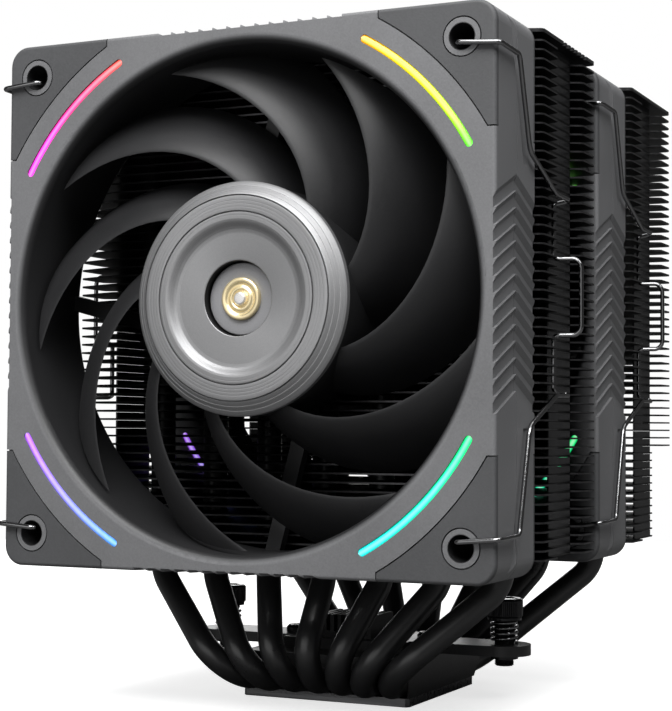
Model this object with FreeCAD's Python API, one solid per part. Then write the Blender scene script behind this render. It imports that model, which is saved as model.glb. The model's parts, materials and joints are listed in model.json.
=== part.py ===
import FreeCAD, Part
import math
import os

# Dual-tower processor cooler with two 120 mm fans.
# Millimetres, +Z up, +Y in the direction of the air, +X to the right seen from the front.
# Origin: centre of the cold plate's contact face.

V = FreeCAD.Vector
X_AXIS = V(1, 0, 0)
Y_AXIS = V(0, 1, 0)
Z_AXIS = V(0, 0, 1)
ORIGIN = V(0, 0, 0)

# ---- driving dimensions -------------------------------------------------------------

# places of the fans and towers
FAN_CENTRE_Z = 93.4
FRONT_FAN_Y = -67.5
FAN_PITCH_Y = 71.9

# fan frame
FAN_HALF = 60.0
FAN_DEPTH = 25.0
FAN_CORNER = 4.5
FAN_EDGE = 0.8
BORE_R = 56.0
BORE_LIP = 2.0
HOLE_OFFSET = 52.5
HOLE_R = 2.8
BOSS_R = 4.0
BOSS_GAP = 0.3
SEAM_WIDTH = 0.3

# rubber corner pads
PAD_ARC_R = 67.3
PAD_GAP = 0.3
PAD_REACH = 33.8
PAD_THICKNESS = 1.4
PAD_PROUD = 0.6

# light guides
GUIDE_R = 62.0
GUIDE_WIDTH = 1.8
GUIDE_HALF_ANGLE = 15.6
GUIDE_DEPTH = 2.2
BOARD_WIDTH = 3.0
BOARD_HALF_ANGLE = 16.6
BOARD_THICKNESS = 1.0

# chevron relief on the fan's sides
CHEVRON_COUNT = 13
CHEVRON_PITCH = 3.5
CHEVRON_RISE = 5.0
CHEVRON_DEPTH = 0.7
CHEVRON_SLOPE = 1.3
CHEVRON_START = -25.2

# groove that each wire clip lies over
CHANNEL_DEPTH = 0.9
CHANNEL_HALF_WIDTH = 1.6
CHANNEL_TOP_Y = 9.5
CHANNEL_END_Y = 18.6
CHANNEL_END_Z = 28.0

# rotor
BLADE_COUNT = 9
BLADE_TIP_R = 55.1
BLADE_ROOT_R = 25.0
BLADE_SWEEP = 56.0
BLADE_MIDDLE_Y = 12.3
CUP_R = 25.6
CUP_INNER_R = 24.2
CUP_FRONT_Y = 3.6
CUP_REAR_Y = 20.6
DISC_R = 25.8
BUTTON_R = 7.3
MEDALLION_R = 4.7
SHAFT_R = 1.5
SHAFT_CLEARANCE = 0.05

# motor
BEARING_R = 3.2
TUBE_R = 4.4
MOTOR_BASE_R = 24.0
MOTOR_BASE_Y = 21.8
MOTOR_BASE_REAR_Y = 24.4
STATOR_R = 20.6
ROTOR_RING_R = 21.2
STRUT_ANGLES = (22.0, 112.0, 202.0, 292.0)
STRUT_LEAN = 24.0
STRUT_HALF_WIDTH = 1.8

# wire clips
WIRE_R = 0.55
CLIP_HOOK_Z = 1.6

# heatsink
PIPE_COUNT = 7
PIPE_R = 3.0
PIPE_PITCH = 15.0
PIPE_BASE_PITCH = 6.2
PIPE_Z = 5.0
PIPE_TIP_Z = 155.0
TOWER_PIPE_Y = 45.8
PIPE_STRAIGHTS = (1.5, 1.8, 2.4, 0.4)
FRONT_BEND_Y = -36.8
FRONT_BEND_Z = 29.3
REAR_LEAN = 8.0
REAR_STAGGER = 2.6
REAR_BEND_Z = 29.0
REAR_BASE_BEND_R = 12.0
TOWER_BEND_R = 9.0
FIN_COUNT = 57
FIN_PITCH = 2.04
FIN_THICKNESS = 0.4
FIN_BOTTOM_Z = 36.4
FIN_CORNER_R = 1.3
SHORT_FIN_COUNT = 12
SHORT_FIN_Y = 60.5
FIN_TIP_X = 60.0
FIN_FRONT_Y = 26.0
FIN_ROUND_Y = (30.6, 41.0, 60.0, 69.8)
TOP_FIN_THICKNESS = 0.8
TOOTH_COUNT = 7
TOOTH_PITCH = 2.7
TOOTH_DEPTH = 0.8
TOOTH_START_Y = 45.0
TAB_WALL = 0.4
TAB_GAP = 0.06
PLATE_HALF_X = 21.85
PLATE_HALF_Y = 21.5
PLATE_THICKNESS = 2.0
BLOCK_TOP_Z = 11.0
BLOCK_REAR_Y = 26.1
BLOCK_CHAMFER = 4.0

# mounting bar and its screws
BAR_HALF_Y = 6.4
BAR_TOP_Z = 13.5
RIB_COUNT = 8
RIB_PITCH = 2.0
RIB_START_X = -9.3
SCREW_X = 37.9
SCREW_SHANK_R = 2.35
SCREW_BOTTOM_Z = 8.3
SCREW_HEAD_R = 4.5
SCREW_HEAD_Z = 19.9
SCREW_TOP_Z = 24.5
WASHER_THICKNESS = 0.6
SPRING_R = 3.0
SPRING_WIRE_R = 0.4
SPRING_TURNS = 4.0
ACCESS_R = 5.0


# ---- shared shapes ------------------------------------------------------------------

def box(x0, x1, y0, y1, z0, z1):
    return Part.makeBox(x1 - x0, y1 - y0, z1 - z0, V(x0, y0, z0))


def cylinder_y(radius, y0, y1, x=0.0, z=0.0):
    return Part.makeCylinder(radius, y1 - y0, V(x, y0, z), Y_AXIS)


def cylinder_z(radius, z0, z1, x=0.0, y=0.0):
    return Part.makeCylinder(radius, z1 - z0, V(x, y, z0), Z_AXIS)


def ring_y(outer, inner, y0, y1):
    return cylinder_y(outer, y0, y1).cut(cylinder_y(inner, y0 - 1, y1 + 1))


def ring_z(outer, inner, z0, z1, x, y):
    return cylinder_z(outer, z0, z1, x, y).cut(cylinder_z(inner, z0 - 1, z1 + 1, x, y))


def prism(points, direction):
    return Part.Face(Part.makePolygon(points + [points[0]])).extrude(direction)


def turned_y(profile):
    """Solid of revolution about the Y axis from (radius, y) points."""
    points = [V(radius, y, 0) for radius, y in profile]
    face = Part.Face(Part.makePolygon(points + [points[0]]))
    return face.revolve(ORIGIN, Y_AXIS, 360)


def turned_z(profile, x, y):
    """Solid of revolution about the vertical line through (x, y), from (radius, z) points."""
    points = [V(x + radius, y, z) for radius, z in profile]
    face = Part.Face(Part.makePolygon(points + [points[0]]))
    return face.revolve(V(x, y, 0), Z_AXIS, 360)


def edges_along(shape, axis):
    return [edge for edge in shape.Edges if abs(edge.tangentAt(edge.FirstParameter).dot(axis)) > 0.9]


def fused(first, others):
    return first.fuse(others).removeSplitter()


def turned_about_y(shape, angle):
    copy = shape.copy()
    copy.rotate(ORIGIN, Y_AXIS, -angle)
    return copy


def mirrored_x(shape):
    return shape.mirror(ORIGIN, X_AXIS)


def mirrored_front_to_rear(shape):
    """Swap the front and the rear of a shape that lies within the fan's depth."""
    return shape.mirror(V(0, FAN_DEPTH / 2, 0), Y_AXIS)


def rounded_path(points, bends):
    """Straight runs through the points, joined by tangent arcs of the bend radii.

    A point in line with its neighbours has no arc."""
    edges = []
    start = points[0]
    for before, corner, after, bend in zip(points, points[1:], points[2:], bends):
        to_before = (before - corner).normalize()
        to_after = (after - corner).normalize()
        if (to_before + to_after).Length < 1e-6:
            continue
        half_angle = to_before.getAngle(to_after) / 2
        reach = bend / math.tan(half_angle)
        arc_start = corner + to_before * reach
        arc_end = corner + to_after * reach
        to_middle = (to_before + to_after).normalize()
        arc_middle = corner + to_middle * (bend / math.sin(half_angle) - bend)
        edges.append(Part.LineSegment(start, arc_start).toShape())
        edges.append(Part.Arc(arc_start, arc_middle, arc_end).toShape())
        start = arc_end
    edges.append(Part.LineSegment(start, points[-1]).toShape())
    return Part.Wire(edges)


def rod(points, bends, radius):
    """Round rod or pipe along a rounded path."""
    path = rounded_path(points, bends)
    section = Part.Wire(Part.makeCircle(radius, points[0], points[1] - points[0]))
    return path.makePipeShell([section], True, False)


def polar(radius, angle, y=0.0):
    return V(radius * math.cos(math.radians(angle)), y, radius * math.sin(math.radians(angle)))


def arc_bar(radius, width, half_angle, centre_angle, y0, y1):
    """Bar that follows an arc about the fan's axis and has round ends."""
    inner = radius - width / 2
    outer = radius + width / 2
    low = centre_angle - half_angle
    high = centre_angle + half_angle
    cap_angle = math.degrees(width / 2 / radius)
    edges = [
        Part.Arc(polar(outer, low, y0), polar(outer, centre_angle, y0), polar(outer, high, y0)),
        Part.Arc(polar(outer, high, y0), polar(radius, high + cap_angle, y0), polar(inner, high, y0)),
        Part.Arc(polar(inner, high, y0), polar(inner, centre_angle, y0), polar(inner, low, y0)),
        Part.Arc(polar(inner, low, y0), polar(radius, low - cap_angle, y0), polar(outer, low, y0)),
    ]
    wire = Part.Wire([edge.toShape() for edge in edges])
    return Part.Face(wire).extrude(V(0, y1 - y0, 0))


def arc_bars(radius, width, half_angle, y0, y1):
    """Four arc bars, one in each corner of the fan."""
    return [arc_bar(radius, width, half_angle, angle, y0, y1) for angle in (45, 135, 225, 315)]


def four_corners(offset):
    return [(sx * offset, sz * offset) for sx in (1, -1) for sz in (1, -1)]


# ---- fan: frame, pads and lights ----------------------------------------------------
# Each fan is built about its own axis with its front face at y = 0, then moved.

def rounded_block(half, corner, y0, y1):
    block = box(-half, half, y0, y1, -half, half)
    return block.makeFillet(corner, edges_along(block, Y_AXIS))


def fan_block():
    """Outer shape of the fan: a square with round corners and softened edges."""
    block = rounded_block(FAN_HALF, FAN_CORNER, 0, FAN_DEPTH)
    rims = [edge for edge in block.Edges if edge.BoundBox.YLength < 1e-6]
    return block.makeFillet(FAN_EDGE, rims)


def bore_cutter():
    """Air passage, rounded at both lips."""
    lip_r = BORE_R + BORE_LIP
    on_arc = BORE_LIP * (1 - math.sqrt(0.5))
    front = [V(BORE_R, BORE_LIP, 0), V(BORE_R + on_arc, on_arc, 0), V(lip_r, 0, 0)]
    rear = [V(point.x, FAN_DEPTH - point.y, 0) for point in reversed(front)]
    ends = [V(lip_r, -1, 0), V(0, -1, 0), V(0, FAN_DEPTH + 1, 0), V(lip_r, FAN_DEPTH + 1, 0)]
    edges = [Part.Arc(*rear).toShape(), Part.LineSegment(rear[2], front[0]).toShape()]
    edges.append(Part.Arc(*front).toShape())
    around = [front[2]] + ends + [rear[0]]
    edges += [Part.LineSegment(start, end).toShape() for start, end in zip(around, around[1:])]
    return Part.Face(Part.Wire(edges)).revolve(ORIGIN, Y_AXIS, 360)


def pad_zone(gap):
    """Region of the four front corner pads; a gap above zero widens it for the frame."""
    reach = PAD_REACH - gap
    zone = box(-70, 70, -1, PAD_THICKNESS, -70, 70)
    zone = zone.cut(cylinder_y(PAD_ARC_R - gap, -2, PAD_THICKNESS + 1))
    cross = [box(-reach, reach, -2, PAD_THICKNESS + 1, -71, 71)]
    cross.append(box(-71, 71, -2, PAD_THICKNESS + 1, -reach, reach))
    return zone.cut(cross)


def front_corner_pads():
    pads = fan_block().common(pad_zone(0.0))
    holes = [cylinder_y(BOSS_R + BOSS_GAP, -1, FAN_DEPTH, x, z) for x, z in four_corners(HOLE_OFFSET)]
    pads = pads.cut(holes)
    return Part.makeCompound([solid.removeSplitter() for solid in pads.Solids])


def rear_corner_pads():
    """The rear pads stand a little proud, so that they rest on the fins."""
    pads = mirrored_front_to_rear(front_corner_pads())
    raised = []
    for pad in pads.Solids:
        centre = pad.BoundBox.Center
        foot = cylinder_y(BOSS_R + 2.2, FAN_DEPTH - 0.2, FAN_DEPTH + PAD_PROUD, 0, 0)
        foot.translate(V(math.copysign(HOLE_OFFSET, centre.x), 0, math.copysign(HOLE_OFFSET, centre.z)))
        hole = cylinder_y(BOSS_R + BOSS_GAP, 0, FAN_DEPTH + 2, 0, 0)
        hole.translate(V(math.copysign(HOLE_OFFSET, centre.x), 0, math.copysign(HOLE_OFFSET, centre.z)))
        raised.append(fused(pad, [foot.cut(hole)]))
    return Part.makeCompound(raised)


def chevron_cutter(slope):
    """Row of slanted steps for one half of the right side: a flat, a ledge, a slope back in."""
    surface = FAN_HALF
    floor = FAN_HALF - CHEVRON_DEPTH
    outside = FAN_HALF + 1
    y_start = 0 if slope > 0 else FAN_DEPTH
    points = [V(outside, y_start, CHEVRON_START)]
    for tooth in range(CHEVRON_COUNT):
        low = CHEVRON_START + tooth * CHEVRON_PITCH
        points.append(V(floor, y_start, low))
        points.append(V(floor, y_start, low + CHEVRON_PITCH - CHEVRON_SLOPE))
        points.append(V(surface, y_start, low + CHEVRON_PITCH))
    points.append(V(outside, y_start, CHEVRON_START + CHEVRON_COUNT * CHEVRON_PITCH))
    return prism(points, V(0, slope * FAN_DEPTH / 2, CHEVRON_RISE))


def clip_channel():
    """Grooves on the right side under the sloping legs of a wire clip, steepest in front."""
    start = V(FAN_HALF, CHANNEL_TOP_Y, FAN_HALF + 0.5)
    end = V(FAN_HALF, CHANNEL_END_Y, CHANNEL_END_Z)
    front = -CHANNEL_HALF_WIDTH
    rear = CHANNEL_HALF_WIDTH
    section = [V(1, front, 0), V(0, front, 0), V(-CHANNEL_DEPTH, front + 0.2, 0)]
    section += [V(0, rear, 0), V(1, rear, 0)]
    groove = prism([start + corner for corner in section], end - start)
    return [groove, groove.mirror(ORIGIN, Z_AXIS)]


def struts():
    """Leaning rear struts from the motor base to the bore wall."""
    bars = []
    for angle in STRUT_ANGLES:
        inner = polar(MOTOR_BASE_R - 3, angle)
        outer = polar(BORE_R + 1.2, angle - STRUT_LEAN)
        along = (outer - inner).normalize()
        side = V(-along.z, 0, along.x) * STRUT_HALF_WIDTH
        points = [inner + side, outer + side, outer - side, inner - side]
        bar = prism(points, V(0, MOTOR_BASE_REAR_Y - MOTOR_BASE_Y, 0))
        bar.translate(V(0, MOTOR_BASE_Y, 0))
        bars.append(bar)
    return bars


def fan_frame():
    frame = fan_block().cut(bore_cutter())
    for angle in (0, 90, 180, 270):
        halves = [chevron_cutter(1), chevron_cutter(-1)]
        frame = frame.cut([turned_about_y(half, angle) for half in halves])
    channels = clip_channel()
    frame = frame.cut(channels + [mirrored_x(channel) for channel in channels])

    pads = pad_zone(PAD_GAP)
    bosses = [cylinder_y(BOSS_R, -3, PAD_THICKNESS + 1, x, z) for x, z in four_corners(HOLE_OFFSET)]
    front_zone = pads.cut(bosses)
    frame = frame.cut([front_zone, mirrored_front_to_rear(front_zone)])

    seam = rounded_block(FAN_HALF + 2, FAN_CORNER, 12.9 - SEAM_WIDTH / 2, 12.9 + SEAM_WIDTH / 2)
    seam = seam.cut(rounded_block(FAN_HALF - 0.8, FAN_CORNER, 10, 15))
    frame = frame.cut(seam)

    guides = arc_bars(GUIDE_R, GUIDE_WIDTH, GUIDE_HALF_ANGLE, -1, GUIDE_DEPTH)
    board_rear = GUIDE_DEPTH + BOARD_THICKNESS
    boards = arc_bars(GUIDE_R, BOARD_WIDTH, BOARD_HALF_ANGLE, GUIDE_DEPTH, board_rear)
    frame = frame.cut(guides + boards)

    motor_base = cylinder_y(MOTOR_BASE_R, MOTOR_BASE_Y, MOTOR_BASE_REAR_Y)
    bearing_tube = cylinder_y(TUBE_R, 8.5, MOTOR_BASE_REAR_Y)
    frame = fused(frame, [motor_base, bearing_tube] + struts())
    frame = frame.cut(cylinder_y(BEARING_R, 8, 21.0))

    holes = [cylinder_y(HOLE_R, -1, FAN_DEPTH + 1, x, z) for x, z in four_corners(HOLE_OFFSET)]
    cable_notch = box(27.0, 30.6, 22.6, FAN_DEPTH + 1, -FAN_HALF - 1, -44.0)
    return frame.cut(holes + [cable_notch])


def light_guides():
    return Part.makeCompound(arc_bars(GUIDE_R, GUIDE_WIDTH, GUIDE_HALF_ANGLE, 0, GUIDE_DEPTH))


def light_boards():
    rear = GUIDE_DEPTH + BOARD_THICKNESS
    return Part.makeCompound(arc_bars(GUIDE_R, BOARD_WIDTH, BOARD_HALF_ANGLE, GUIDE_DEPTH, rear))


# ---- fan: rotor ---------------------------------------------------------------------

def blade_section(radius):
    """Closed cambered outline of the blade in the plane that faces this radius."""
    share = (radius - BLADE_ROOT_R) / (BLADE_TIP_R - BLADE_ROOT_R)
    middle_angle = BLADE_SWEEP * share
    stagger = math.radians(52.0 - 25.0 * share)
    chord = 19.0 + 13.0 * share
    camber = 0.09 * chord
    half_thickness = 0.8 - 0.25 * share
    outward = polar(1.0, middle_angle)
    ahead = V(-outward.z, 0, outward.x)
    centre = outward * radius + Y_AXIS * BLADE_MIDDLE_Y
    along = ahead * math.cos(stagger) - Y_AXIS * math.sin(stagger)
    across = ahead * math.sin(stagger) + Y_AXIS * math.cos(stagger)
    lead = centre + along * (chord / 2)
    trail = centre - along * (chord / 2)
    middle = centre - across * camber
    edge = across * 0.25
    belly = across * half_thickness
    edges = [
        Part.Arc(lead + edge, middle + belly, trail + edge).toShape(),
        Part.LineSegment(trail + edge, trail - edge).toShape(),
        Part.Arc(trail - edge, middle - belly, lead - edge).toShape(),
        Part.LineSegment(lead - edge, lead + edge).toShape(),
    ]
    return Part.Wire(edges)


def blade():
    radii = (21.0, 29.0, 37.0, 45.0, 53.0, 61.0)
    loft = Part.makeLoft([blade_section(radius) for radius in radii], True, False)
    return loft.common(ring_y(BLADE_TIP_R, BLADE_ROOT_R, -5, 30))


def impeller():
    cup = turned_y([
        (SHAFT_R, CUP_FRONT_Y), (CUP_R - 0.6, CUP_FRONT_Y), (CUP_R, CUP_FRONT_Y + 0.6),
        (CUP_R, CUP_REAR_Y), (CUP_INNER_R, CUP_REAR_Y), (CUP_INNER_R, CUP_FRONT_Y + 1.6),
        (4.0, CUP_FRONT_Y + 1.6), (3.4, 7.6), (SHAFT_R, 7.6),
    ])
    first = blade()
    blades = [turned_about_y(first, 360.0 / BLADE_COUNT * number) for number in range(BLADE_COUNT)]
    return cup.fuse(blades)


def hub_disc():
    """Turned metal disc: sloping rim, two grooves, fine rings and a dished middle."""
    profile = [(8.2, CUP_FRONT_Y), (8.2, 0.75), (8.45, 0.5), (14.6, 0.5)]
    profile += [(15.4, 0.38), (16.0, 0.05), (16.4, -0.45), (16.8, -0.85), (17.3, -1.0)]
    profile += [(18.0, -1.0), (18.06, -0.9), (18.12, -1.0)]
    profile += [(18.85, -0.98), (18.9, -0.4), (19.15, -0.4), (19.2, -0.95)]
    for radius in (20.2, 20.9, 21.6):
        height = -0.95 + 0.15 * (radius - 19.2)
        profile += [(radius - 0.06, height), (radius, height + 0.1), (radius + 0.06, height)]
    profile += [(22.35, -0.5), (22.4, 0.1), (22.65, 0.1), (22.7, -0.35)]
    for radius in (23.6, 24.4):
        height = -0.35 + 0.83 * (radius - 22.7)
        profile += [(radius - 0.06, height), (radius, height + 0.15), (radius + 0.06, height + 0.1)]
    profile += [(DISC_R - 0.3, 1.98), (DISC_R, 2.3), (DISC_R, CUP_FRONT_Y)]
    return turned_y(profile)


def hub_button():
    """Plain disc in the middle of the hub, with a seat for the medallion."""
    front = 1.85
    return turned_y([
        (MEDALLION_R, CUP_FRONT_Y), (MEDALLION_R, front), (BUTTON_R - 0.25, front),
        (BUTTON_R, front + 0.25), (BUTTON_R, CUP_FRONT_Y),
    ])


def hub_medallion():
    """Small turned medallion with two raised rings and a centre pin."""
    return turned_y([
        (0, CUP_FRONT_Y), (0, 1.1), (1.15, 1.1), (1.4, 1.35), (1.4, 2.1), (1.75, 2.1), (2.0, 1.7),
        (2.35, 1.6), (2.7, 1.7), (2.95, 2.0), (3.3, 2.0), (3.6, 1.7), (4.1, 1.55), (4.45, 1.6),
        (MEDALLION_R, 1.85), (MEDALLION_R, CUP_FRONT_Y),
    ])


def rotor_ring():
    return ring_y(CUP_INNER_R, ROTOR_RING_R, CUP_FRONT_Y + 1.8, 19.0)


def shaft():
    return cylinder_y(SHAFT_R, CUP_FRONT_Y, 20.4)


# ---- fan: motor ---------------------------------------------------------------------

def bearing():
    return ring_y(BEARING_R, SHAFT_R + SHAFT_CLEARANCE, 9.0, 21.0)


def stator_core():
    """Laminated core: a collar, four arms and four curved pole shoes."""
    front, rear = 10.5, 16.5
    collar = cylinder_y(7.0, front, rear)
    arms = []
    for angle in (0, 90, 180, 270):
        arms.append(turned_about_y(box(5, 19, front, rear, -2.2, 2.2), angle))
        shoe = ring_y(STATOR_R, 18.4, front, rear).common(box(0, 22, front, rear, -12.5, 12.5))
        arms.append(turned_about_y(shoe, angle))
    return fused(collar, arms).cut(cylinder_y(TUBE_R, 0, 25))


def stator_coils():
    coils = []
    for angle in (0, 90, 180, 270):
        coil = box(9.0, 16.8, 8.9, 18.1, -4.2, 4.2)
        coil = coil.makeFillet(1.2, edges_along(coil, X_AXIS))
        coil = coil.cut(box(8, 18, 10.5, 16.5, -2.2, 2.2))
        coils.append(turned_about_y(coil, angle))
    return Part.makeCompound(coils)


def motor_board():
    return ring_y(19.6, TUBE_R, 20.4, MOTOR_BASE_Y)


def motor_cap():
    return cylinder_y(MOTOR_BASE_R - 0.8, MOTOR_BASE_REAR_Y, FAN_DEPTH)


# ---- fan: wire clips ----------------------------------------------------------------

def right_clip():
    """One spring wire: tip in each corner hole, round the frame's side, hooked behind the
    fins' front lip, with a handle in the middle."""
    upper = [
        V(51.6, 2.4, 51.2), V(51.6, -0.85, 51.2), V(61.2, -0.85, 50.4), V(61.2, 11.0, 50.2),
        V(61.2, 17.8, 29.2 + CLIP_HOOK_Z), V(61.1, 36.0, 22.4 + CLIP_HOOK_Z),
        V(61.0, 46.6, 22.2 + CLIP_HOOK_Z), V(58.4, 42.6, 21.0 + CLIP_HOOK_Z),
        V(58.4, 42.6, 8.6 + CLIP_HOOK_Z), V(64.4, 44.0, 8.6 + CLIP_HOOK_Z),
    ]
    lower = []
    for point in reversed(upper):
        on_frame = point.y < 12
        height = -point.z if on_frame else 2 * CLIP_HOOK_Z - point.z
        lower.append(V(point.x, point.y, height))
    half_bends = [1.0, 1.2, 2.0, 4.0, 4.0, 0.7, 0.7, 1.2, 2.2]
    bends = half_bends + list(reversed(half_bends))
    return rod(upper + lower, bends, WIRE_R)


# ---- heatsink -----------------------------------------------------------------------

def pipe_route(number):
    """Points of one U-shaped pipe, from its front tip through the base to its rear tip."""
    steps = number - (PIPE_COUNT - 1) // 2
    tower_x = PIPE_PITCH * steps
    base_x = PIPE_BASE_PITCH * steps
    front_y = FRONT_FAN_Y + TOWER_PIPE_Y
    rear_y = front_y + FAN_PITCH_Y
    return [
        V(tower_x, front_y, PIPE_TIP_Z),
        V(tower_x, front_y, FRONT_BEND_Z),
        V(base_x, FRONT_BEND_Y, PIPE_Z),
        V(base_x, rear_y - REAR_LEAN - REAR_STAGGER * abs(steps), PIPE_Z),
        V(tower_x, rear_y, REAR_BEND_Z),
        V(tower_x, rear_y, PIPE_TIP_Z),
    ]


def front_base_bend(route, straight):
    """Bend radius for which the arc starts that far in front of the base block."""
    half_angle = (route[1] - route[2]).getAngle(route[3] - route[2]) / 2
    return (-PLATE_HALF_Y - straight - FRONT_BEND_Y) * math.tan(half_angle)


def heat_pipe(number):
    """The straight runs in front of the block differ, so that neighbouring bends clear each other."""
    route = pipe_route(number)
    straight = PIPE_STRAIGHTS[abs(number - (PIPE_COUNT - 1) // 2)]
    bends = (TOWER_BEND_R, front_base_bend(route, straight), REAR_BASE_BEND_R, TOWER_BEND_R)
    return rod(route, bends, PIPE_R)


def fin_side(short):
    """Right side of a fin: chamfered front corner, and a recess behind the front lip.

    A short fin ends behind that recess, with no rear lip."""
    shoulder_y, lip_end_y, rear_lip_y, rear_y = FIN_ROUND_Y
    side = [(48.0, FIN_FRONT_Y), (FIN_TIP_X, shoulder_y), (FIN_TIP_X, lip_end_y), (57.2, 42.4)]
    if short:
        return side + [(57.2, SHORT_FIN_Y)]
    return side + [(57.2, 58.6), (FIN_TIP_X, rear_lip_y), (FIN_TIP_X, rear_y)]


def top_fin_side(tooth_count):
    """Right side of a top fin: no recess, and a row of small teeth on the front tower's."""
    side = [(48.0, FIN_FRONT_Y), (FIN_TIP_X, FIN_ROUND_Y[0])]
    for tooth in range(tooth_count):
        start = TOOTH_START_Y + TOOTH_PITCH * tooth
        side.append((FIN_TIP_X, start))
        side.append((FIN_TIP_X - TOOTH_DEPTH, start + 0.3 * TOOTH_PITCH))
        side.append((FIN_TIP_X, start + 0.5 * TOOTH_PITCH))
    return side + [(FIN_TIP_X, FIN_ROUND_Y[-1])]


def fin_blank(front_y, side, z, thickness):
    """Flat fin with the given right side, its mirror image, and holes for the pipes."""
    right = [(x, front_y + y) for x, y in side]
    left = [(-x, y) for x, y in reversed(right)]
    blank = prism([V(x, y, z) for x, y in right + left], V(0, 0, thickness))
    corners = []
    for edge in edges_along(blank, Z_AXIS):
        corner = edge.Vertexes[0]
        rounded = any(abs(corner.Y - front_y - y) < 0.01 for y in FIN_ROUND_Y)
        if rounded and abs(corner.X) > FIN_TIP_X - 0.01:
            corners.append(edge)
    blank = blank.makeFillet(FIN_CORNER_R, corners)
    pipe_y = front_y + TOWER_PIPE_Y
    holes = []
    for number in range(PIPE_COUNT):
        x = PIPE_PITCH * (number - (PIPE_COUNT - 1) // 2)
        holes.append(cylinder_z(PIPE_R, z - 1, z + thickness + 1, x, pipe_y))
    if front_y < 0:
        holes += [cylinder_z(ACCESS_R, z - 1, z + thickness + 1, x, 0.0) for x in (SCREW_X, -SCREW_X)]
    return blank.cut(holes)


def fin_with_tabs(front_y, short=False):
    """Lowest fin of a stack, with the folded tabs that space it from the next one."""
    blank = fin_blank(front_y, fin_side(short), FIN_BOTTOM_Z, FIN_THICKNESS)
    tab_top = FIN_BOTTOM_Z + FIN_PITCH - TAB_GAP
    tab = box(57.2 - TAB_WALL, 57.2, front_y + 42.6, front_y + 58.4, FIN_BOTTOM_Z, tab_top)
    return fused(blank, [tab, mirrored_x(tab)])


def fin_stack(front_y, short_count):
    """Separate fins; the lowest ones may be short."""
    full = fin_with_tabs(front_y)
    short = fin_with_tabs(front_y, True)
    fins = []
    for level in range(FIN_COUNT):
        fin = short if level < short_count else full
        fins.append(fin.translated(V(0, 0, FIN_PITCH * level)))
    return Part.makeCompound(fins)


def top_fin(front_y, tooth_count):
    side = top_fin_side(tooth_count)
    return fin_blank(front_y, side, FIN_BOTTOM_Z + FIN_PITCH * FIN_COUNT, TOP_FIN_THICKNESS)


def cold_plate():
    plate = box(-PLATE_HALF_X, PLATE_HALF_X, -PLATE_HALF_Y, PLATE_HALF_Y, 0, PLATE_THICKNESS)
    return plate.makeChamfer(0.8, edges_along(plate, Z_AXIS))


def base_block():
    """Block over the plate, grooved from below for the pipes, with its rear lower edge cut off."""
    side = [
        (-PLATE_HALF_Y, PLATE_THICKNESS), (BLOCK_REAR_Y - BLOCK_CHAMFER, PLATE_THICKNESS),
        (BLOCK_REAR_Y, PLATE_THICKNESS + BLOCK_CHAMFER), (BLOCK_REAR_Y, BLOCK_TOP_Z),
        (-PLATE_HALF_Y, BLOCK_TOP_Z),
    ]
    block = prism([V(-PLATE_HALF_X, y, z) for y, z in side], V(2 * PLATE_HALF_X, 0, 0))
    channels = []
    for number in range(PIPE_COUNT):
        x = PIPE_BASE_PITCH * (number - (PIPE_COUNT - 1) // 2)
        channels.append(cylinder_y(PIPE_R, -PLATE_HALF_Y - 1, BLOCK_REAR_Y + 1, x, PIPE_Z))
        channels.append(box(x - PIPE_R, x + PIPE_R, -PLATE_HALF_Y - 1, BLOCK_REAR_Y + 1, 0, PIPE_Z))
    return block.cut(channels + bar_screw_shanks())


def bar_screw_shanks():
    return [cylinder_z(1.25, 9.0, BAR_TOP_Z + 0.5, x, 0.0) for x in (18.0, -18.0)]


def mounting_bar():
    """Bar with round ends and a ribbed pad in the middle; the sprung screws turn in its ends."""
    ends = [cylinder_z(BAR_HALF_Y, BLOCK_TOP_Z, BAR_TOP_Z, x, 0) for x in (SCREW_X, -SCREW_X)]
    middle = box(-SCREW_X, SCREW_X, -BAR_HALF_Y, BAR_HALF_Y, BLOCK_TOP_Z, BAR_TOP_Z)
    foot = box(-16.0, 16.0, -11.0, 13.0, BLOCK_TOP_Z, BAR_TOP_Z)
    ribs = [box(RIB_START_X, RIB_START_X + RIB_PITCH * RIB_COUNT - 1.0, -7.0, 7.0, BAR_TOP_Z, 15.0)]
    for number in range(RIB_COUNT):
        x = RIB_START_X + RIB_PITCH * number
        ribs.append(box(x, x + 1.0, -7.0, 7.0, BAR_TOP_Z, 19.0))
    bar = fused(middle, ends + [foot] + ribs)
    bores = [cylinder_z(SCREW_SHANK_R + 0.05, 5, 30, x, 0) for x in (SCREW_X, -SCREW_X)]
    return bar.cut(bores + bar_screw_shanks())


def bar_screws():
    screws = []
    for x, shank in zip((18.0, -18.0), bar_screw_shanks()):
        head = turned_z([(0, BAR_TOP_Z), (2.6, BAR_TOP_Z), (2.6, 14.6), (2.0, 15.3), (0, 15.3)], x, 0)
        slots = [box(x - 1.6, x + 1.6, -0.3, 0.3, 14.6, 16), box(x - 0.3, x + 0.3, -1.6, 1.6, 14.6, 16)]
        screws.append(fused(head, [shank]).cut(slots))
    return Part.makeCompound(screws)


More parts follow.
